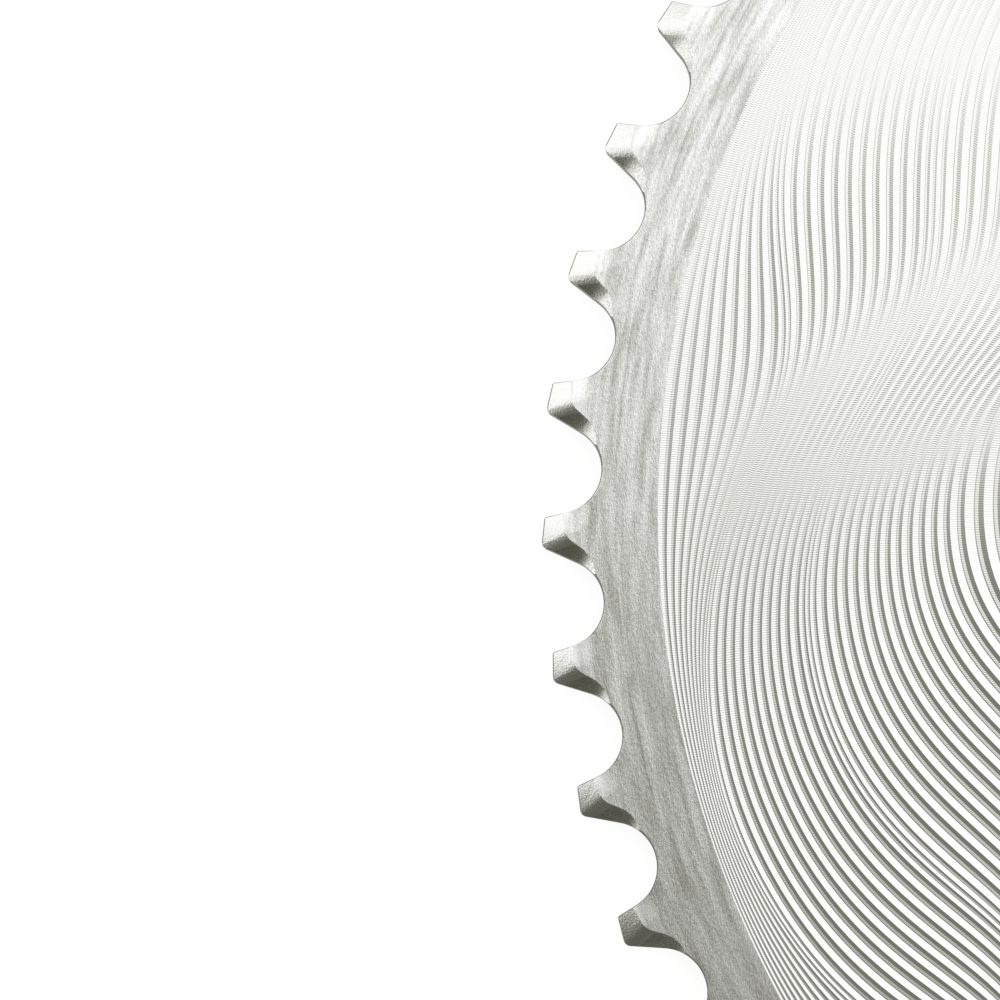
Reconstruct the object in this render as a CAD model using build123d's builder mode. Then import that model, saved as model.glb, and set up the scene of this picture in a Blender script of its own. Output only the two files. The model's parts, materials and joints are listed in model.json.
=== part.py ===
import os
from math import atan2, cos, degrees, pi, radians, sin, sqrt, tan

from build123d import *

# Chain and teeth: lengths in millimetres, angles in degrees.
teeth = 52
chain_pitch = 12.7
roller_seat_radius = 4.2
plate_thickness = 3.0

# Each tooth leans: its clockwise flank is steep, its counter-clockwise flank is relieved.
steep_flank_lean = 14.0
relieved_flank_lean = 28.6
steep_corner_rise = 1.0
relieved_corner_rise = 1.3

# Flat bevel on the front of each tooth tip.
tip_bevel_width = 2.2
tip_bevel_drop = 0.9

# Hollow bevel along each relieved flank: a round cutter sunk into the front face at a slope.
flank_bevel_width = 1.6
flank_bevel_slope = 30.0
flank_bevel_cutter_radius = 6.0
flank_bevel_centre = 1.75

# Plain rim, field of wavy grooves and hub land on the front face.
rim_width = 5.5
hub_land_width = 9.0
groove_count = 4
groove_depth = 0.25

# The waves fade out at both edges of the field, and turn clockwise with their inset from its rim.
wave_lobes = 7
wave_height = 3.8
wave_fade_width = 6.6
wave_crest_angle = 203.5
wave_twist_per_mm = 0.65

# Bolts that hold the ring to the crank's spider, and the land from their circle in to the bore.
bolt_count = 5
bolt_circle_diameter = 130.0
bolt_hole_diameter = 10.1
bolt_land_width = 20.0

# Radii and angles that follow from the sizes above.
pitch_angle = 360.0 / teeth
pitch_radius = chain_pitch / (2 * sin(pi / teeth))
root_radius = pitch_radius - roller_seat_radius
tip_radius = pitch_radius + relieved_corner_rise
field_outer_radius = root_radius - rim_width
bore_radius = bolt_circle_diameter / 2 - bolt_land_width
field_inner_radius = bore_radius + hub_land_width
groove_field_width = field_outer_radius - field_inner_radius
last_edge = 2 * groove_count - 1
half_lobe = 180.0 / wave_lobes


def polar(radius, angle):
    return Vector(radius, 0).rotate(Axis.Z, angle)


def turned(point, gap):
    return point.rotate(Axis.Z, gap * pitch_angle)


# Point of the first seat, at an angle from the inward direction, counter-clockwise positive.
def seat_point(angle):
    return Vector(pitch_radius, 0) - Vector(roller_seat_radius, 0).rotate(Axis.Z, -angle)


# Tip corner of the flank that leaves the seat at a lean, on one side of the first gap.
def tip_corner(lean, rise, side):
    foot = seat_point(side * (90 - lean))
    climb = pitch_radius + rise - foot.X
    return foot + Vector(climb, side * climb * tan(radians(lean)))


# One closed edge of a groove, counted in from the field's rim. At the rim and the hub land it is a circle,
# and between them a wave, with a crest arc and a trough arc for each lobe. The arcs are tangent where they
# meet, because the radius there is the geometric mean of crest and trough.
def groove_edge(edge):
    inset = groove_field_width * edge / last_edge
    fade = min(1.0, inset / wave_fade_width, (groove_field_width - inset) / wave_fade_width)
    if fade == 0:
        CenterArc((0, 0), field_outer_radius - inset, 0, 360)
        return
    crest_radius = field_outer_radius - inset + fade * wave_height
    trough_radius = field_outer_radius - inset - fade * wave_height
    meeting_radius = sqrt(crest_radius * trough_radius)
    first_crest = wave_crest_angle - wave_twist_per_mm * inset
    for lobe in range(wave_lobes):
        crest_angle = first_crest + 2 * lobe * half_lobe
        meeting = [polar(meeting_radius, crest_angle + share * half_lobe) for share in (-0.5, 0.5, 1.5)]
        ThreePointArc(meeting[0], polar(crest_radius, crest_angle), meeting[1])
        ThreePointArc(meeting[1], polar(trough_radius, crest_angle + half_lobe), meeting[2])


steep_foot = seat_point(90 - steep_flank_lean)
steep_corner = tip_corner(steep_flank_lean, steep_corner_rise, 1)
relieved_foot = seat_point(relieved_flank_lean - 90)
relieved_corner = tip_corner(relieved_flank_lean, relieved_corner_rise, -1)

# The flank bevel's cutter lies along its slope, with its lowest line meeting the face behind the flank.
into_gap = Vector(sin(radians(relieved_flank_lean)), cos(radians(relieved_flank_lean)))
bevel_reach = roller_seat_radius + flank_bevel_width
bevel_back = (
    relieved_foot
    - into_gap * flank_bevel_width
    + into_gap.rotate(Axis.Z, -90) * flank_bevel_centre
    + Vector(0, 0, plate_thickness)
)
bevel_rise = into_gap * sin(radians(flank_bevel_slope)) + Vector(0, 0, cos(radians(flank_bevel_slope)))
bevel_run = into_gap * cos(radians(flank_bevel_slope)) - Vector(0, 0, sin(radians(flank_bevel_slope)))

with BuildPart() as chainring:
    # Toothed plate: for each gap its seat, then the tooth that follows it counter-clockwise.
    with BuildSketch():
        with BuildLine():
            for gap in range(teeth):
                ThreePointArc(
                    turned(relieved_foot, gap),
                    turned(seat_point(0), gap),
                    turned(steep_foot, gap),
                )
                Polyline(
                    turned(steep_foot, gap),
                    turned(steep_corner, gap),
                    turned(relieved_corner, gap + 1),
                    turned(relieved_foot, gap + 1),
                )
        make_face()
        Circle(bore_radius, mode=Mode.SUBTRACT)
        with PolarLocations(bolt_circle_diameter / 2, bolt_count):
            Circle(bolt_hole_diameter / 2, mode=Mode.SUBTRACT)
    extrude(amount=plate_thickness)

    # Tip bevels: one slanted block over each tooth.
    tip_bevel_slope = degrees(atan2(tip_bevel_drop, tip_bevel_width))
    with PolarLocations(0, teeth, start_angle=pitch_angle / 2):
        with Locations(Location((tip_radius - tip_bevel_width, 0, plate_thickness), (0, tip_bevel_slope, 0))):
            Box(
                2 * tip_bevel_width,
                chain_pitch,
                plate_thickness,
                align=(Align.MIN, Align.CENTER, Align.MIN),
                mode=Mode.SUBTRACT,
            )

    # Flank bevels, each cut as far as the middle of its gap.
    with PolarLocations(0, teeth):
        with Locations(Plane(bevel_back + bevel_rise * flank_bevel_cutter_radius, z_dir=bevel_run)):
            Cylinder(
                flank_bevel_cutter_radius,
                bevel_reach * cos(radians(flank_bevel_slope)),
                align=(Align.CENTER, Align.CENTER, Align.MIN),
                mode=Mode.SUBTRACT,
            )

    # Wavy grooves in the front face, each between two closed edges.
    with BuildSketch(Plane.XY.offset(plate_thickness)):
        for groove in range(groove_count):
            with BuildLine():
                groove_edge(2 * groove)
            make_face()
            with BuildLine():
                groove_edge(2 * groove + 1)
            make_face(mode=Mode.SUBTRACT)
    extrude(amount=-groove_depth, mode=Mode.SUBTRACT)

chainring.part.label = "chainring"

os.makedirs("parts", exist_ok=True)
export_step(chainring.part, "parts/chainring.step")
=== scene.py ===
import json
import math

import bmesh
import bpy
from mathutils import Matrix, Vector


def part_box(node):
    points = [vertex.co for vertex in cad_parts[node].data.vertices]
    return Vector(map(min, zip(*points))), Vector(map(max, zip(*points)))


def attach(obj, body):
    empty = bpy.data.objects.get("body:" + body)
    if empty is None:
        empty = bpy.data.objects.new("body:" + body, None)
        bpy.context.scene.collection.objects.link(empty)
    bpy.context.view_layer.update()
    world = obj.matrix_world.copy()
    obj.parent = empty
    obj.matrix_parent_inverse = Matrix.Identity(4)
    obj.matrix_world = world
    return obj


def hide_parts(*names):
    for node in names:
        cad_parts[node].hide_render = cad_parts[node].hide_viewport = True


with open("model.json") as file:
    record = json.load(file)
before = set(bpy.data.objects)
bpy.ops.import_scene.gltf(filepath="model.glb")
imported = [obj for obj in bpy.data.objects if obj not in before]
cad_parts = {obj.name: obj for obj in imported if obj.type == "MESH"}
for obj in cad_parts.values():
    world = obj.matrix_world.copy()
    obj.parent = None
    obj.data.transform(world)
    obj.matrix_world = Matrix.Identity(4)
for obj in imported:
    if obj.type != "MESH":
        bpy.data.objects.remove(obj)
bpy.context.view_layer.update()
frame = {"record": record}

mm = 0.001
scene = bpy.context.scene
scene.view_settings.view_transform = "Standard"

mounts = {mount["name"]: mount for mount in frame["record"]["mounts"]}
ringLow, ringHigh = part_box("chainring")
print("frame loaded, ring", round((ringHigh.x - ringLow.x) / mm, 2), "mm across")

# places of the finishes in the ring's material list
slots = {"plate": 0, "milled": 1, "bevelled": 2, "blankedPaintedShade": 3, "flank": 4}

# the plate and its teeth, as cut
plate = {
    "teeth": 52,
    "chainPitch": 12.7 * mm,
    "seatRadius": 4.2 * mm,
    "steepLean": 14.0,  # degrees off the tooth's middle, clockwise flank
    "relievedLean": 28.6,  # counter-clockwise flank
    "steepRise": 1.0 * mm,  # tip corners above the pitch circle
    "relievedRise": 1.3 * mm,
    "steepRound": 0.3 * mm,
    "relievedRound": 0.7 * mm,
    "cornerSteps": 6,
    "rimWidth": 5.5 * mm,
    "seatSteps": 12,  # per half of a seat
    "frontRound": 0.16 * mm,
    # the front edge, as shares of its round: way in, way down
    "frontEdge": [(1.0, 0.0), (0.55, 0.1), (0.25, 0.33), (0.0, 0.85)],
    "backBreak": 0.15 * mm,
    "roll": 0.08 * mm,  # the blanked walls lean in this far above the middle
}

# the bevels on the front of each tooth
bevel = {
    "tipWidth": 2.2 * mm,
    "tipDrop": 0.9 * mm,
    "blend": 4.0 * mm,  # radius where the two bevels meet
    "blendSteps": 4,
    "blendReach": 1.3 * mm,  # half the width of the flats that round it
    "lip": 0.11 * mm,  # width of the worn edge along the tip
    "lipSlope": 65.0,
}

# bands cut along a flank, on the relieved side (-1) or the steep side (1): each narrows along the
# outline from the tip corner and runs out in the seat. The first is the flank bevel, the others a rub.
bands = [
    dict(side=-1, width=1.55 * mm, slope=30.0, narrow=2.4 * mm, end=6.0 * mm, steps=32, finish="flank"),
    dict(side=1, width=2.1 * mm, slope=1.5, narrow=2.0 * mm, end=5.6 * mm, steps=16, finish="plate"),
    dict(side=1, width=1.4 * mm, slope=4.6, narrow=1.8 * mm, end=4.8 * mm, steps=16, finish="plate"),
]

# the milled face: passes counted in from the rim, each zone a run of equal steps
face = {
    "columns": 416,
    "hubLand": 9.0 * mm,
    "zones": [
        (1, 0.62 * mm),
        (7, 0.68 * mm),
        (2, 0.42 * mm),
        (1, 0.9 * mm),
        (9, 1.01 * mm),
        (1, 0.68 * mm),
        (1, 0.5 * mm),
        (1, 0.7 * mm),
        (9, 1.1 * mm),
        (11, 1.23 * mm),
    ],
    # across a pass, as shares of its width: way in from its outer ridge, depth
    "profile": [(0.48, 0.067), (0.53, 0.051), (0.72, 0.051), (1.0, 0.0)],
    "lobes": 7,
    "height": 3.87 * mm,
    "further": 30 * mm,  # the way in over which the waves change
    # two ripples that flatten the crests: times the lobes, height, height lost further in, turn
    "ripples": [(2, 0.84 * mm, 0.68 * mm, 175.0), (3, 0.22 * mm, 0.33 * mm, -8.0)],
    "rimFade": 5.66 * mm,
    "hubFade": 9.0 * mm,
    "growth": 0.16,  # extra height further in
    "firstCrest": 202.5,  # degrees from +X
    "twist": 0.618,  # degrees a mm inwards, clockwise
    "stagger": 0.618,  # mm that the ticks of each pass start after those of the one outside it
}

# spools that cut the bolt holes and leave a small chamfer
bolts = {"chamfer": 0.4 * mm, "steps": 48}

# where the shading breaks: the upright share of a normal that makes a face a flat of the front,
# and the degrees between two faces that make a sharp edge
shading = {"flat": 0.99999, "sharp": 14.0}

pitchAngle = 2 * math.pi / plate["teeth"]
pitchRadius = plate["chainPitch"] / (2 * math.sin(pitchAngle / 2))
rootRadius = pitchRadius - plate["seatRadius"]
tipRadius = pitchRadius + plate["relievedRise"]
rimRadius = rootRadius - plate["rimWidth"]
boreRadius = mounts["centre_bore"]["dims"]["r_mm"] * mm
hubRadius = boreRadius + face["hubLand"]
top = ringHigh.z
bottom = ringLow.z


def polar(radius, angle):
    return Vector((radius * math.cos(angle), radius * math.sin(angle)))


def turned(point, angle):
    return Matrix.Rotation(angle, 2) @ point


def seatPoint(angle):
    # on the seat of the gap at +X, counted from straight inwards
    return Vector((pitchRadius, 0)) - plate["seatRadius"] * Vector((math.cos(angle), -math.sin(angle)))


def tipCorner(lean, rise, side):
    foot = seatPoint(side * (math.pi / 2 - lean))
    climb = pitchRadius + rise - foot.x
    return foot + Vector((climb, side * climb * math.tan(lean)))


def roundCorner(before, corner, after, radius, steps):
    # arc tangent to both sides of a corner
    sideA = (before - corner).normalized()
    sideB = (after - corner).normalized()
    half = sideA.angle(sideB) / 2
    centre = corner + (sideA + sideB).normalized() * radius / math.sin(half)
    start = corner + sideA * radius / math.tan(half) - centre
    end = corner + sideB * radius / math.tan(half) - centre
    sweep = start.angle_signed(end)
    return [centre + turned(start, -sweep * step / steps) for step in range(steps + 1)]


def toothOutline():
    # from the bottom of one seat, over the tooth, to the bottom of the next
    steep = math.radians(plate["steepLean"])
    relieved = math.radians(plate["relievedLean"])
    steps = plate["seatSteps"]
    steepFoot = seatPoint(math.pi / 2 - steep)
    relievedFoot = turned(seatPoint(relieved - math.pi / 2), pitchAngle)
    steepCorner = tipCorner(steep, plate["steepRise"], 1)
    relievedCorner = turned(tipCorner(relieved, plate["relievedRise"], -1), pitchAngle)
    points = [seatPoint((math.pi / 2 - steep) * step / steps) for step in range(steps + 1)]
    cornerSteps = plate["cornerSteps"]
    points += roundCorner(steepFoot, steepCorner, relievedCorner, plate["steepRound"], cornerSteps)
    points += roundCorner(steepCorner, relievedCorner, relievedFoot, plate["relievedRound"], cornerSteps)
    points += [
        turned(seatPoint((relieved - math.pi / 2) * (1 - step / steps)), pitchAngle)
        for step in range(steps + 1)
    ]
    return points


def inset(points, distance):
    # the outline moved into the metal; its two ends slide along the middles of their gaps
    moved = []
    for index, point in enumerate(points):
        before = points[index - 1] if index else None
        after = points[index + 1] if index + 1 < len(points) else None
        if before is None or after is None:
            moved.append(point * (1 - distance / point.length))
            continue
        normalA = Vector((before.y - point.y, point.x - before.x)).normalized()
        normalB = Vector((point.y - after.y, after.x - point.x)).normalized()
        mitre = (normalA + normalB).normalized()
        moved.append(point + mitre * distance / mitre.dot(normalA))
    return moved


def newObject(name, bm, materials):
    mesh = bpy.data.meshes.new(name)
    bm.to_mesh(mesh)
    bm.free()
    for material in materials:
        mesh.materials.append(material)
    piece = bpy.data.objects.new(name, mesh)
    scene.collection.objects.link(piece)
    return piece


def cut(piece, cutter):
    # subtracts the cutter and throws it away
    modifier = piece.modifiers.new("cut", "BOOLEAN")
    modifier.operation = "DIFFERENCE"
    modifier.object = cutter
    modifier.solver = "MANIFOLD"
    modifier.material_mode = "INDEX"
    shown = piece.evaluated_get(bpy.context.evaluated_depsgraph_get())
    mesh = bpy.data.meshes.new_from_object(shown)
    piece.modifiers.clear()
    piece.data = mesh
    bpy.data.objects.remove(cutter)


def prism(name, profile, place, span, finish, materials):
    # a profile in the place's X and Z, drawn out along its Y
    bm = bmesh.new()
    ends = [
        [bm.verts.new(place @ Vector((x, side * span, z))) for x, z in profile] for side in (-1, 1)
    ]
    bm.faces.new(ends[0])
    bm.faces.new(reversed(ends[1]))
    for index in range(len(profile)):
        after = (index + 1) % len(profile)
        bm.faces.new((ends[0][after], ends[0][index], ends[1][index], ends[1][after]))
    bmesh.ops.recalc_face_normals(bm, faces=bm.faces)
    for item in bm.faces:
        item.material_index = slots[finish]
    return newObject(name, bm, materials)


def toothSector(materials):
    # one tooth with its share of the rim, as a closed block
    outline = toothOutline()
    front = plate["frontRound"]
    back = plate["backBreak"]
    roll = plate["roll"]
    rows = [(roll + front * inwards, top - front * down) for inwards, down in plate["frontEdge"]]
    rows += [(0, (top + bottom) / 2), (0, bottom + back), (back, bottom)]
    # the edge rows below the first take the dark blanked colour, painted shade along the outline
    rowFinishes = [slots["bevelled"]] + [slots["blankedPaintedShade"]] * (len(rows) - 2)
    share = face["columns"] // plate["teeth"]
    innerArc = [polar(rimRadius, pitchAngle * (1 - step / share)) for step in range(share + 1)]
    bm = bmesh.new()
    loops = [
        [bm.verts.new((point.x, point.y, z)) for point in inset(outline, depth)] for depth, z in rows
    ]
    arcs = [[bm.verts.new((point.x, point.y, z)) for point in innerArc] for z in (top, bottom)]
    for upper, lower, finish in zip(loops, loops[1:], rowFinishes):
        for index in range(len(outline) - 1):
            item = bm.faces.new((upper[index], lower[index], lower[index + 1], upper[index + 1]))
            item.material_index = finish
    bm.faces.new(loops[0] + arcs[0])
    bm.faces.new(list(reversed(loops[-1] + arcs[1])))
    for index in range(share):
        bm.faces.new((arcs[0][index], arcs[0][index + 1], arcs[1][index + 1], arcs[1][index]))
    bm.faces.new([loop[0] for loop in reversed(loops)] + [arcs[0][-1], arcs[1][-1]])
    bm.faces.new([loop[-1] for loop in loops] + [arcs[1][0], arcs[0][0]])
    bmesh.ops.recalc_face_normals(bm, faces=bm.faces)
    return newObject("toothSector", bm, materials)


def tipCutter(materials):
    start = tipRadius - bevel["tipWidth"]
    fall = bevel["tipDrop"] / bevel["tipWidth"]
    past = 2 * mm  # the cutter stands this far past the metal
    profile = [
        (start - past, top + past * fall),
        (tipRadius + past, top - (bevel["tipWidth"] + past) * fall),
        (tipRadius + past, top + past),
        (start - past, top + past),
    ]
    place = Matrix.Rotation(pitchAngle / 2, 4, "Z")
    return prism("tipCutter", profile, place, plate["chainPitch"], "bevelled", materials)


def lipCutters(materials):
    # narrow steep edges along the tip bevel, on the steep flank and on the tip, in the dark blanked
    # colour as painted shade
    steep = math.radians(plate["steepLean"])
    relieved = math.radians(plate["relievedLean"])
    middle = polar(1, pitchAngle / 2)
    bevelStart = tipRadius - bevel["tipWidth"]
    steepCorner = tipCorner(steep, plate["steepRise"], 1)
    relievedCorner = turned(tipCorner(relieved, plate["relievedRise"], -1), pitchAngle)
    climb = steepCorner - seatPoint(math.pi / 2 - steep)
    flankStart = steepCorner - climb * (steepCorner.dot(middle) - bevelStart) / climb.dot(middle)
    corners = []
    for point in (flankStart, steepCorner, relievedCorner):
        drop = (point.dot(middle) - bevelStart) * bevel["tipDrop"] / bevel["tipWidth"]
        corners.append(Vector((*point, top - drop)))
    lip = bevel["lip"]
    steepness = math.tan(math.radians(bevel["lipSlope"]))
    past = 1 * mm  # past the metal
    profile = [(past, -(lip + past) * steepness), (past, past), (-lip - past / steepness, past)]
    cutters = []
    for start, end in zip(corners, corners[1:]):
        along = (end - start).normalized()
        outwards = along.cross(Vector((0, 0, 1))).normalized()
        place = Matrix((outwards, along, outwards.cross(along))).transposed().to_4x4()
        place.translation = (start + end) / 2
        cutters.append(prism("lipCutter", profile, place, (end - start).length / 2, "blankedPaintedShade", materials))
    return cutters


def flankLine(side):
    # tip corner, way down the flank, way into the metal and length, for a flank of the gap at +X
    lean = math.radians(plate["steepLean" if side > 0 else "relievedLean"])
    corner = tipCorner(lean, plate["steepRise" if side > 0 else "relievedRise"], side)
    foot = seatPoint(side * (math.pi / 2 - lean))
    down = (foot - corner).normalized()
    return corner, down, side * Vector((down.y, -down.x)), (foot - corner).length


def blendCutters(materials):
    # narrow flats that round the ridge between the tip bevel and the flank bevel
    flank = bands[0]
    corner, _, inwards, _ = flankLine(flank["side"])
    inwards = turned(inwards, pitchAngle)
    flankEdge = turned(corner, pitchAngle) + inwards * flank["width"]
    outwards = polar(1, pitchAngle / 2)
    tipEdge = tipRadius - bevel["tipWidth"]
    meet = Matrix((outwards, inwards)).inverted() @ Vector((tipEdge, flankEdge.dot(inwards)))
    fall = math.atan2(bevel["tipDrop"], bevel["tipWidth"])
    slope = math.radians(flank["slope"])
    tipNormal = Vector((*(outwards * math.sin(fall)), math.cos(fall)))
    flankNormal = Vector((*(-inwards * math.sin(slope)), math.cos(slope)))
    ridge = tipNormal.cross(flankNormal).normalized()
    if ridge.z > 0:
        ridge = -ridge
    between = tipNormal + flankNormal
    centre = Vector((*meet, top)) - between * bevel["blend"] / (1 + tipNormal.dot(flankNormal))
    reach = bevel["blendReach"]
    profile = [(-reach, 0), (reach, 0), (reach, reach), (-reach, reach)]
    cutters = []
    for step in range(1, bevel["blendSteps"]):
        normal = tipNormal.slerp(flankNormal, step / bevel["blendSteps"])
        place = Matrix((ridge.cross(normal), ridge, normal)).transposed().to_4x4()
        place.translation = centre + normal * bevel["blend"] + ridge * reach
        cutters.append(prism("blendCutter", profile, place, 2 * reach, "bevelled", materials))
    return cutters


def flankCutter(band, materials):
    # a sloping edge swept along a flank and on round the seat, where it runs out
    side = band["side"]
    lean = math.radians(plate["steepLean" if side > 0 else "relievedLean"])
    past = 1.2 * mm  # past the metal
    steps = band["steps"]
    corner, downFlank, intoMetal, flank = flankLine(side)
    bm = bmesh.new()
    rings = []
    for step in range(steps + 1):
        way = -past + (band["end"] + 2 * past) * step / steps
        if way < flank:
            point = corner + downFlank * way
            inwards = intoMetal
        else:
            point = seatPoint(side * (math.pi / 2 - lean - (way - flank) / plate["seatRadius"]))
            inwards = (point - Vector((pitchRadius, 0))).normalized()
        share = max(0, way - band["narrow"]) / (band["end"] - band["narrow"])
        width = band["width"] * (1 - share**2)
        # the cut is as steep where it narrows as along the flank
        narrowing = 2 * band["width"] * share / (band["end"] - band["narrow"])
        slope = math.tan(math.radians(band["slope"])) / math.hypot(1, narrowing)
        section = [
            (width + past, past * slope),
            (width + past, 2 * past),
            (-past, 2 * past),
            (-past, -(width + past) * slope),
        ]
        ring = []
        for depth, height in section:
            spot = turned(point + inwards * depth, pitchAngle if side < 0 else 0)
            ring.append(bm.verts.new((spot.x, spot.y, top + height)))
        rings.append(ring)
    for before, after in zip(rings, rings[1:]):
        for index in range(len(section)):
            follow = (index + 1) % len(section)
            bm.faces.new((before[index], before[follow], after[follow], after[index]))
    bm.faces.new(rings[0])
    bm.faces.new(list(reversed(rings[-1])))
    bmesh.ops.recalc_face_normals(bm, faces=bm.faces)
    for item in bm.faces:
        item.material_index = slots[band["finish"]]
    return newObject("flankCutter", bm, materials)


def waveRadius(line, angle):
    # radius of a pass at an angle; the line is its mean radius
    depth = rimRadius - line
    further = depth / face["further"]
    fade = min(1, depth / face["rimFade"], (line - hubRadius) / face["hubFade"])
    fade *= 1 + face["growth"] * further
    turn = math.degrees(angle) - face["firstCrest"] + face["twist"] * depth / mm
    phase = math.radians(face["lobes"] * turn)
    height = face["height"] * math.cos(phase)
    for times, first, lost, shift in face["ripples"]:
        height += (first - lost * further) * math.cos(times * phase - math.radians(shift))
    return line + fade * height


def milledFace(bm, runs):
    # passes of a cutter from the rim in to the hub land, with a sharp ridge left between them
    columns = face["columns"]
    angles = [2 * math.pi * column / columns for column in range(columns)]
    steps = [step for count, step in face["zones"] for _ in range(count)]
    fit = (rimRadius - hubRadius) / sum(steps)
    previous = [bm.verts.new((*polar(rimRadius, angle), top)) for angle in angles]
    line = rimRadius
    for number, step in enumerate(steps):
        outer = [waveRadius(line, angle) for angle in angles]
        line -= step * fit
        inner = [waveRadius(line, angle) for angle in angles]
        corners = [polar(radius, angle) for radius, angle in zip(inner, angles)]
        following = corners[1:] + corners[:1]
        lengths = [(after - corner).length / mm for corner, after in zip(corners, following)]
        widths = []
        for column in range(columns):
            slant = (inner[(column + 1) % columns] - inner[column - 1]) / (2 * inner[column] * angles[1])
            widths.append(max(0, outer[column] - inner[column]) / math.hypot(1, slant))
        before = 0
        for share, depth in face["profile"]:
            current = []
            for column, angle in enumerate(angles):
                radius = outer[column] + (inner[column] - outer[column]) * share
                current.append(bm.verts.new((*polar(radius, angle), top - depth * widths[column])))
            run = number * face["stagger"]
            for column in range(columns):
                after = (column + 1) % columns
                item = bm.faces.new((previous[column], current[column], current[after], previous[after]))
                item.material_index = slots["milled"]
                along = (run, run, run + lengths[column], run + lengths[column])
                across = (before, share, share, before)
                for loop, x, y in zip(item.loops, along, across):
                    loop[runs].uv = (x, number + y)
                run += lengths[column]
            previous = current
            before = share
    return previous


def lathe(bm, start, profile):
    # carries a circle of vertices on through a profile of radius, height and finish
    columns = len(start)
    previous = start
    angles = [2 * math.pi * column / columns for column in range(columns)]
    for radius, height, finish in profile:
        current = [bm.verts.new((*polar(radius, angle), height)) for angle in angles]
        for column in range(columns):
            after = (column + 1) % columns
            item = bm.faces.new((previous[column], current[column], current[after], previous[after]))
            item.material_index = slots[finish]
        previous = current


def boltCutter(materials):
    pattern = mounts["spider_bolts"]["dims"]
    radius = pattern["hole_r_mm"] * mm
    chamfer = bolts["chamfer"]
    past = 1 * mm  # past the metal
    profile = [
        (radius + chamfer + past, bottom - past),
        (radius, bottom + chamfer),
        (radius, top - chamfer),
        (radius + chamfer + past, top + past),
    ]
    turns = [2 * math.pi * step / bolts["steps"] for step in range(bolts["steps"])]
    bm = bmesh.new()
    for hole in range(pattern["count"]):
        centre = polar(pattern["pcd_mm"] * mm / 2, 2 * math.pi * hole / pattern["count"])
        rings = []
        for width, height in profile:
            rings.append([bm.verts.new((*(centre + polar(width, turn)), height)) for turn in turns])
        for lower, upper in zip(rings, rings[1:]):
            for step in range(bolts["steps"]):
                after = (step + 1) % bolts["steps"]
                item = bm.faces.new((lower[step], lower[after], upper[after], upper[step]))
                item.material_index = slots["bevelled"]
        bm.faces.new(list(reversed(rings[0])))
        bm.faces.new(rings[-1])
    bmesh.ops.recalc_face_normals(bm, faces=bm.faces)
    return newObject("boltCutter", bm, materials)


def shade(mesh):
    # smooth, but sharp at the ridges and all round each flat of the front face
    bm = bmesh.new()
    bm.from_mesh(mesh)
    for item in bm.faces:
        item.smooth = True
    for edge in bm.edges:
        flats = {item.normal.z > shading["flat"] for item in edge.link_faces}
        edge.smooth = len(flats) == 1 and edge.calc_face_angle(0) < math.radians(shading["sharp"])
    bm.to_mesh(mesh)
    bm.free()


def buildRing(materials):
    sector = toothSector(materials)
    cut(sector, tipCutter(materials))
    for band in bands:
        cut(sector, flankCutter(band, materials))
    for cutter in blendCutters(materials) + lipCutters(materials):
        cut(sector, cutter)
    print("tooth sector cut,", len(sector.data.polygons), "faces")

    # the walls where the sector meets its neighbours and the milled face come off again
    single = bmesh.new()
    single.from_mesh(sector.data)
    slack = 0.002 * mm
    cutFaces = []
    for item in single.faces:
        flat = [vert.co.to_2d() for vert in item.verts]
        onStart = all(abs(point.y) < slack for point in flat)
        onEnd = all(abs(turned(point, -pitchAngle).y) < slack for point in flat)
        onArc = all(point.length < rimRadius + slack for point in flat)
        if onStart or onEnd or onArc:
            cutFaces.append(item)
    bmesh.ops.delete(single, geom=cutFaces, context="FACES")
    single.to_mesh(sector.data)
    single.free()

    ring = bmesh.new()
    runs = ring.loops.layers.uv.new("grooveRun")
    for tooth in range(plate["teeth"]):
        sector.data.transform(Matrix.Rotation(pitchAngle if tooth else 0, 4, "Z"))
        ring.from_mesh(sector.data)
    bpy.data.objects.remove(sector)
    hubEdge = milledFace(ring, runs)
    chamfer = bolts["chamfer"]
    profile = [
        (boreRadius + chamfer, top, "plate"),
        (boreRadius, top - chamfer, "bevelled"),
        (boreRadius, bottom + chamfer, "bevelled"),
        (boreRadius + chamfer, bottom, "bevelled"),
        (rimRadius, bottom, "plate"),
    ]
    lathe(ring, hubEdge, profile)
    weld = 0.001 * mm
    bmesh.ops.remove_doubles(ring, verts=ring.verts, dist=weld)
    bmesh.ops.recalc_face_normals(ring, faces=ring.faces)
    openEdges = sum(edge.is_boundary for edge in ring.edges)
    print("ring joined,", len(ring.faces), "faces, open edges", openEdges)
    piece = newObject("chainringMilled", ring, materials)
    cut(piece, boltCutter(materials))
    shade(piece.data)
    piece.data.calc_loop_triangles()
    print("ring cut,", len(piece.data.loop_triangles), "triangles")
    return piece


def linear(code):
    # sRGB hex to linear
    parts = [int(code[index : index + 2], 16) / 255 for index in (0, 2, 4)]
    return tuple(part / 12.92 if part <= 0.04045 else ((part + 0.055) / 1.055) ** 2.4 for part in parts)


def add(tree, kind, settings=None, stops=(), **links):
    # a node with its settings, its colour stops, and its inputs set or linked by name
    node = tree.nodes.new(kind)
    for key, value in (settings or {}).items():
        setattr(node, key, value)
    for index, (position, code) in enumerate(stops):
        elements = node.color_ramp.elements
        if index == len(elements):
            elements.new(position)
        elements[index].position = position
        elements[index].color = (*linear(code), 1)
    for key, value in links.items():
        socket = node.inputs[int(key[1:])] if key[0] == "i" and key[1:].isdigit() else node.inputs[key]
        if isinstance(value, bpy.types.NodeSocket):
            tree.links.new(value, socket)
        else:
            socket.default_value = value
    return node


def newMaterial(name):
    material = bpy.data.materials.new(name)
    material.use_nodes = True
    material.node_tree.nodes.clear()
    return material, material.node_tree


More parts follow.
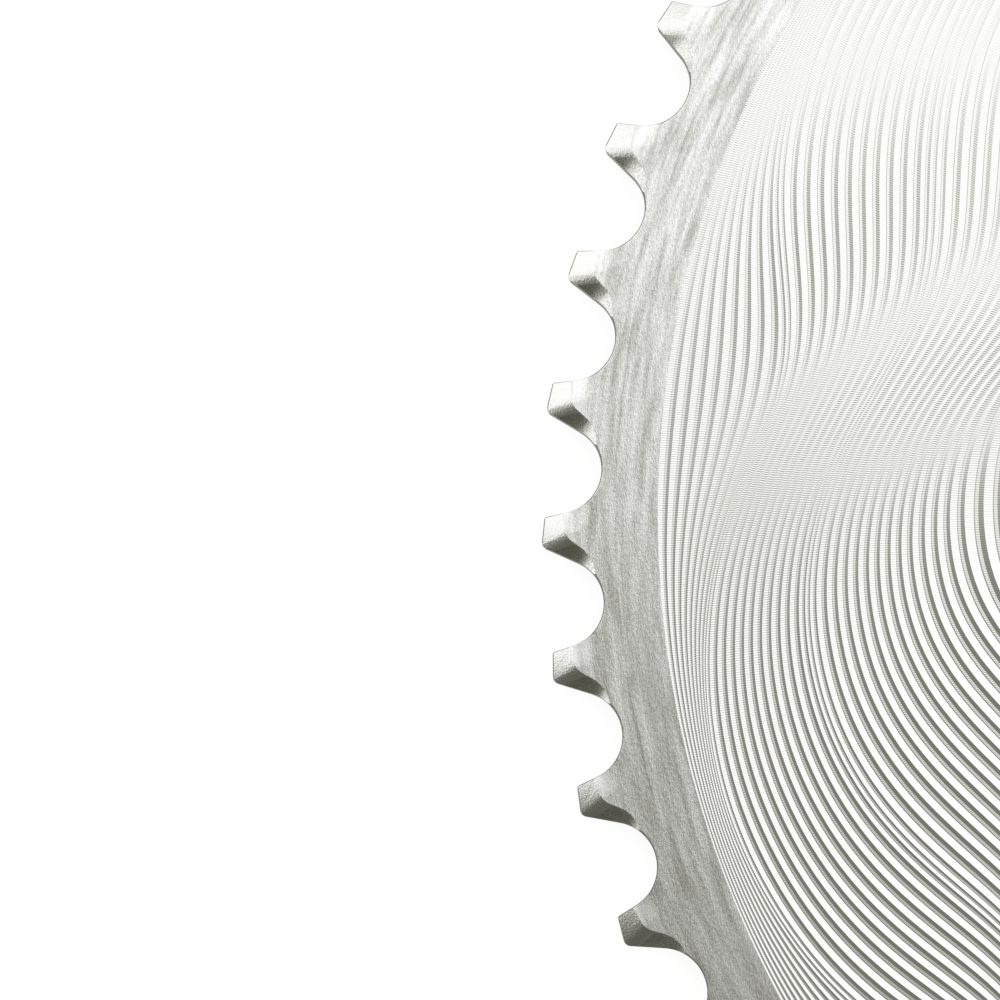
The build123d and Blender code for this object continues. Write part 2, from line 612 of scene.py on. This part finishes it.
# Mill-finish aluminium plate, left as it came: a matt grey, speckled with short streaks one way, with
# longer rubbed streaks round the rim and a smoother, slightly paler face on the teeth.
millFinish = {
    "dark": "babab3",
    "light": "ffffff",
    "toneSpread": (0.36, 0.62),  # values of the pattern that are dark and light
    "grainWidth": 0.07,  # mm
    "grainLength": 0.3,
    "grainScale": 0.85,  # specks to each width and length
    "streakWidth": 0.8,
    "streakLength": 8.0,
    "streakShare": 0.6,  # of the pattern, and the rest is grain
    "scribe": 99.5,  # a faint line round the rim, mm from the ring's middle
    "scribeWidth": 0.15,
    "scribeTone": -0.11,
    "scribeBreak": (0.62, 0.4),  # streak values where the line is gone and where it is full
    "roughness": 0.14,
    "bump": 1.0,
    "bumpDepth": 0.018,  # mm
    "polishStart": 102.2,  # mm from the ring's middle
    "polishFull": 103.6,
    "polishTone": 0.07,
    "polishBump": 0.5,
}

# Milled aluminium: each pass bright on its long side and dull on its short one, with a painted dark line
# between them, painted shade for the small step there, and cross ticks from the cutter's chatter.
milled = {
    # across a pass, from its outer ridge; the dark dip in the middle is painted shade for the step
    "across": [(0.0, "f6f6f4"), (0.46, "f6f6f4"), (0.49, "d0d0cb"), (0.53, "dadad6"), (0.56, "f6f6f4")],
    "sides": (0.46, 0.54),  # where the long side ends and the short one starts
    "tick": 0.22,  # mm along the pass; about 0.2 on the real one, drawn coarser so that it shows
    "tickWander": 1.5,
    "dullSide": 0.45,  # tick height on the short side
    "roughness": 0.16,
    "bump": 0.38,
    "bumpDepth": 0.012,  # mm
}

# Bevelled aluminium: smoother and brighter than the plate, faintly mottled. Mottle and dents in mm.
bevelled = {"dark": "f2f2ef", "light": "fafaf9", "mottle": 0.2, "dents": 0.02, "roughness": 0.22}

# Milled flank bevels: the same metal with a finer, stronger mottle from the cut.
flankMilled = {"dark": "d0d0ca", "light": "fcfcfb", "mottle": 0.16, "dents": 0.01, "roughness": 0.15}

# Blanked aluminium walls: dull, and a dark grey that is painted shade for where they turn away.
blankedPaintedShade = {"colour": "84847c", "roughness": 0.5}


def makeMillFinish():
    material, tree = newMaterial("millFinishAluminium")
    place = add(tree, "ShaderNodeTexCoord").outputs["Object"]
    fineness = [1 / (millFinish[key] * mm) for key in ("grainWidth", "grainLength", "grainWidth")]
    stretch = add(tree, "ShaderNodeMapping", Vector=place, Scale=fineness)
    grain = add(
        tree,
        "ShaderNodeTexNoise",
        Vector=stretch.outputs[0],
        Scale=millFinish["grainScale"],
        Detail=2.0,
        Roughness=0.7,
    )
    # streaks run round the ring: the direction outwards stands for the way round
    level = add(tree, "ShaderNodeVectorMath", {"operation": "MULTIPLY"}, i0=place, i1=(1, 1, 0))
    radius = add(tree, "ShaderNodeVectorMath", {"operation": "LENGTH"}, i0=level.outputs[0])
    radius = radius.outputs["Value"]
    outwards = add(tree, "ShaderNodeVectorMath", {"operation": "NORMALIZE"}, i0=level.outputs[0])
    turns = rimRadius / (millFinish["streakLength"] * mm)
    wayRound = add(
        tree, "ShaderNodeVectorMath", {"operation": "SCALE"}, i0=outwards.outputs[0], Scale=turns
    )
    streakWidth = millFinish["streakWidth"] * mm
    across = add(tree, "ShaderNodeMath", {"operation": "DIVIDE"}, i0=radius, i1=streakWidth)
    lifted = add(tree, "ShaderNodeCombineXYZ", Z=across.outputs[0])
    rubbed = add(
        tree, "ShaderNodeVectorMath", {"operation": "ADD"}, i0=wayRound.outputs[0], i1=lifted.outputs[0]
    )
    streaks = add(
        tree, "ShaderNodeTexNoise", Vector=rubbed.outputs[0], Scale=1.0, Detail=4.0, Roughness=0.6
    ).outputs["Fac"]
    both = add(tree, "ShaderNodeMix", i0=millFinish["streakShare"], i2=grain.outputs["Fac"], i3=streaks)
    # the teeth's faces are smoother and paler
    polish = add(
        tree,
        "ShaderNodeMapRange",
        {"interpolation_type": "SMOOTHSTEP"},
        i0=radius,
        i1=millFinish["polishStart"] * mm,
        i2=millFinish["polishFull"] * mm,
    ).outputs[0]
    paler = add(
        tree,
        "ShaderNodeMath",
        {"operation": "MULTIPLY_ADD"},
        i0=polish,
        i1=millFinish["polishTone"],
        i2=both.outputs[0],
    )
    # the scribed line, broken where the streaks are pale
    scribe = millFinish["scribe"] * mm
    offLine = add(tree, "ShaderNodeMath", {"operation": "SUBTRACT"}, i0=radius, i1=scribe)
    away = add(tree, "ShaderNodeMath", {"operation": "ABSOLUTE"}, i0=offLine.outputs[0])
    line = add(
        tree,
        "ShaderNodeMapRange",
        i0=away.outputs[0],
        i2=millFinish["scribeWidth"] * mm,
        i3=millFinish["scribeTone"],
        i4=0.0,
    )
    gone, full = millFinish["scribeBreak"]
    broken = add(tree, "ShaderNodeMapRange", i0=streaks, i1=gone, i2=full)
    darker = add(
        tree,
        "ShaderNodeMath",
        {"operation": "MULTIPLY_ADD"},
        i0=line.outputs[0],
        i1=broken.outputs[0],
        i2=paler.outputs[0],
    )
    tones = zip(millFinish["toneSpread"], (millFinish["dark"], millFinish["light"]))
    tone = add(tree, "ShaderNodeValToRGB", stops=tones, Fac=darker.outputs[0])
    rough = add(
        tree, "ShaderNodeMapRange", i0=polish, i3=millFinish["bump"], i4=millFinish["polishBump"]
    )
    bump = add(
        tree,
        "ShaderNodeBump",
        Strength=rough.outputs[0],
        Distance=millFinish["bumpDepth"] * mm,
        Height=grain.outputs["Fac"],
    )
    shader = add(
        tree,
        "ShaderNodeBsdfPrincipled",
        **{"Base Color": tone.outputs[0]},
        Normal=bump.outputs[0],
        Metallic=1,
        Roughness=millFinish["roughness"],
    )
    add(tree, "ShaderNodeOutputMaterial", Surface=shader.outputs[0])
    return material


def makeMilled():
    material, tree = newMaterial("milledAluminium")
    run = add(tree, "ShaderNodeUVMap", {"uv_map": "grooveRun"})
    parts = add(tree, "ShaderNodeSeparateXYZ", Vector=run.outputs[0])
    share = add(tree, "ShaderNodeMath", {"operation": "FRACT"}, i0=parts.outputs["Y"]).outputs[0]
    # the dark line in these tones is painted shade for the step between the two sides of a pass
    tone = add(tree, "ShaderNodeValToRGB", stops=milled["across"], Fac=share)
    # the wave texture repeats every 2 pi / 20 at a scale of 1
    ticks = add(
        tree,
        "ShaderNodeTexWave",
        {"bands_direction": "X"},
        Vector=run.outputs[0],
        Scale=2 * math.pi / (20 * milled["tick"]),
        Distortion=milled["tickWander"],
        Detail=1.0,
    ).outputs["Fac"]
    longEnd, shortStart = milled["sides"]
    side = add(
        tree, "ShaderNodeMapRange", i0=share, i1=longEnd, i2=shortStart, i3=1.0, i4=milled["dullSide"]
    )
    height = add(tree, "ShaderNodeMath", {"operation": "MULTIPLY"}, i0=ticks, i1=side.outputs[0])
    bump = add(
        tree,
        "ShaderNodeBump",
        Strength=milled["bump"],
        Distance=milled["bumpDepth"] * mm,
        Height=height.outputs[0],
    )
    shader = add(
        tree,
        "ShaderNodeBsdfPrincipled",
        **{"Base Color": tone.outputs[0]},
        Normal=bump.outputs[0],
        Metallic=1,
        Roughness=milled["roughness"],
    )
    add(tree, "ShaderNodeOutputMaterial", Surface=shader.outputs[0])
    return material


def makeBevelled(name, finish):
    material, tree = newMaterial(name)
    place = add(tree, "ShaderNodeTexCoord").outputs["Object"]
    mottle = add(tree, "ShaderNodeTexNoise", Vector=place, Scale=1 / (finish["mottle"] * mm), Detail=3.0)
    low, high = 0.35, 0.65  # most of the noise lies between these
    tones = [(low, finish["dark"]), (high, finish["light"])]
    tone = add(tree, "ShaderNodeValToRGB", stops=tones, Fac=mottle.outputs["Fac"])
    bump = add(tree, "ShaderNodeBump", Distance=finish["dents"] * mm, Height=mottle.outputs["Fac"])
    shader = add(
        tree,
        "ShaderNodeBsdfPrincipled",
        **{"Base Color": tone.outputs[0]},
        Normal=bump.outputs[0],
        Metallic=1,
        Roughness=finish["roughness"],
    )
    add(tree, "ShaderNodeOutputMaterial", Surface=shader.outputs[0])
    return material


def makeBlankedPaintedShade():
    material, tree = newMaterial("blankedAluminiumPaintedShade")
    # the dark grey is painted shade for the walls and edges that turn away from the light
    colour = (*linear(blankedPaintedShade["colour"]), 1)
    shader = add(
        tree,
        "ShaderNodeBsdfPrincipled",
        **{"Base Color": colour},
        Metallic=1,
        Roughness=blankedPaintedShade["roughness"],
    )
    add(tree, "ShaderNodeOutputMaterial", Surface=shader.outputs[0])
    return material


# in the order of the slots
finishes = [
    makeMillFinish(),
    makeMilled(),
    makeBevelled("bevelledAluminium", bevelled),
    makeBlankedPaintedShade(),
    makeBevelled("flankMilledAluminium", flankMilled),
]
ring = buildRing(finishes)
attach(ring, "root")
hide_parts("chainring")

# a soft studio dome: a ceiling brighter to one side, walls that are white round one dark panel and shaded
# behind it, and a grey band at the horizon
studio = {
    "brightSide": 69.0,  # degrees from +X
    "darkSide": 250.0,
    "darkHeight": 45.0,  # degrees up
    "strength": 1.15,
    # sine of the lean to the bright side, and the ceiling's light there
    "ceiling": [
        (-0.3, "6e6e67"),
        (-0.17, "7c7c76"),
        (-0.11, "84847e"),
        (-0.045, "888881"),
        (-0.02, "a2a29c"),
        (0.006, "bebeb9"),
        (0.04, "c5c5c1"),
        (0.065, "d8d8d5"),
        (0.09, "ebebe9"),
        (0.13, "f3f3f2"),
        (0.17, "fcfcfb"),
        (0.2, "ffffff"),
    ],
    # cosine of the turn from the dark panel's middle, and the wall's light there
    "walls": [
        (-1.0, "54544e"),
        (-0.45, "787873"),
        (-0.18, "a0a09b"),
        (0.1, "c6c6c2"),
        (0.3, "ececea"),
        (0.4, "ffffff"),
        (0.7, "ffffff"),
        (0.765, "f0f0ee"),
        (0.81, "b4b4ae"),
        (0.85, "86867e"),
        (0.875, "58584f"),
        (1.0, "505048"),
    ],
    "wallsStart": 0.42,  # sine of the lean where the ceiling gives way to the walls
    "wallsFull": 0.66,
    "horizon": "92928d",
    "horizonStart": 0.885,  # and where the walls give way to the horizon
    "horizonFull": 0.96,
}


def makeStudio():
    world = bpy.data.worlds.new("softStudio")
    world.use_nodes = True
    tree = world.node_tree
    tree.nodes.clear()
    ray = add(tree, "ShaderNodeTexCoord").outputs["Generated"]
    level = add(tree, "ShaderNodeVectorMath", {"operation": "MULTIPLY"}, i0=ray, i1=(1, 1, 0))
    lean = add(tree, "ShaderNodeVectorMath", {"operation": "LENGTH"}, i0=level.outputs[0])
    tints = []
    for side, height, stops in (
        ("brightSide", 0, "ceiling"),
        ("darkSide", studio["darkHeight"], "walls"),
    ):
        climb = math.radians(height)
        toward = (*polar(math.cos(climb), math.radians(studio[side])), math.sin(climb))
        facing = add(tree, "ShaderNodeVectorMath", {"operation": "DOT_PRODUCT"}, i0=ray, i1=toward)
        spread = add(tree, "ShaderNodeMapRange", i0=facing.outputs["Value"], i1=-1.0, i2=1.0)
        tones = [((value + 1) / 2, code) for value, code in studio[stops]]
        tint = add(tree, "ShaderNodeValToRGB", stops=tones, Fac=spread.outputs[0])
        tints.append(tint.outputs[0])
    shares = [
        add(
            tree,
            "ShaderNodeMapRange",
            {"interpolation_type": "SMOOTHSTEP"},
            i0=lean.outputs["Value"],
            i1=studio[start],
            i2=studio[full],
        ).outputs[0]
        for start, full in (("wallsStart", "wallsFull"), ("horizonStart", "horizonFull"))
    ]
    mixing = {"data_type": "RGBA"}
    upper = add(tree, "ShaderNodeMix", mixing, i0=shares[0], i6=tints[0], i7=tints[1])
    horizon = (*linear(studio["horizon"]), 1)
    dome = add(tree, "ShaderNodeMix", mixing, i0=shares[1], i6=upper.outputs[2], i7=horizon)
    light = add(tree, "ShaderNodeBackground", Color=dome.outputs[2], Strength=studio["strength"])
    add(tree, "ShaderNodeOutputWorld", Surface=light.outputs[0])
    scene.world = world


# white paper: mostly its own white to the eye, with a faint shadow
paper = {
    "halfWidth": 2.0,
    "gap": 0.02 * mm,  # under the ring
    "matt": "6f6f6f",  # the part of its white that takes the light, and the shadow
    "glow": 0.93,
}


def makeFloor():
    material, tree = newMaterial("whitePaperFloor")
    path = add(tree, "ShaderNodeLightPath")
    seen = path.outputs["Is Camera Ray"]
    for ray in ("Is Glossy Ray", "Is Transmission Ray"):
        seen = add(
            tree, "ShaderNodeMath", {"operation": "MAXIMUM"}, i0=seen, i1=path.outputs[ray]
        ).outputs[0]
    glow = add(tree, "ShaderNodeMath", {"operation": "MULTIPLY"}, i0=seen, i1=paper["glow"])
    matt = add(tree, "ShaderNodeBsdfDiffuse", Color=(*linear(paper["matt"]), 1))
    shine = add(tree, "ShaderNodeEmission", Strength=glow.outputs[0])
    total = add(tree, "ShaderNodeAddShader", i0=matt.outputs[0], i1=shine.outputs[0])
    add(tree, "ShaderNodeOutputMaterial", Surface=total.outputs[0])
    bm = bmesh.new()
    bmesh.ops.create_grid(bm, x_segments=1, y_segments=1, size=paper["halfWidth"])
    floor = newObject("paperFloor", bm, [material])
    floor.location.z = bottom - paper["gap"]


makeStudio()
makeFloor()
print("studio and floor set")

# a long lens above the ring's left side, leaning a little towards it
view = {
    "target": (-110.37 * mm, -3.18 * mm),
    "distance": 400 * mm,
    "roll": 2.56,  # degrees, as the leans are
    "leanRight": 4.2,
    "leanUp": 4.36,
    "frameWidth": 1000 / 10.566 * mm,  # 1000 pixels at 10.566 a mm
    "clipStart": 10 * mm,
}
lens = bpy.data.cameras.new("longLens")
lens.lens = lens.sensor_width * view["distance"] / view["frameWidth"]
lens.clip_start = view["clipStart"]
camera = bpy.data.objects.new("longLens", lens)
scene.collection.objects.link(camera)
turn = (
    Matrix.Rotation(math.radians(view["roll"]), 3, "Z")
    @ Matrix.Rotation(math.radians(view["leanRight"]), 3, "Y")
    @ Matrix.Rotation(math.radians(view["leanUp"]), 3, "X")
)
camera.matrix_world = turn.to_4x4()
camera.location = Vector((*view["target"], top)) + turn @ Vector((0, 0, view["distance"]))
scene.camera = camera
print("camera set")
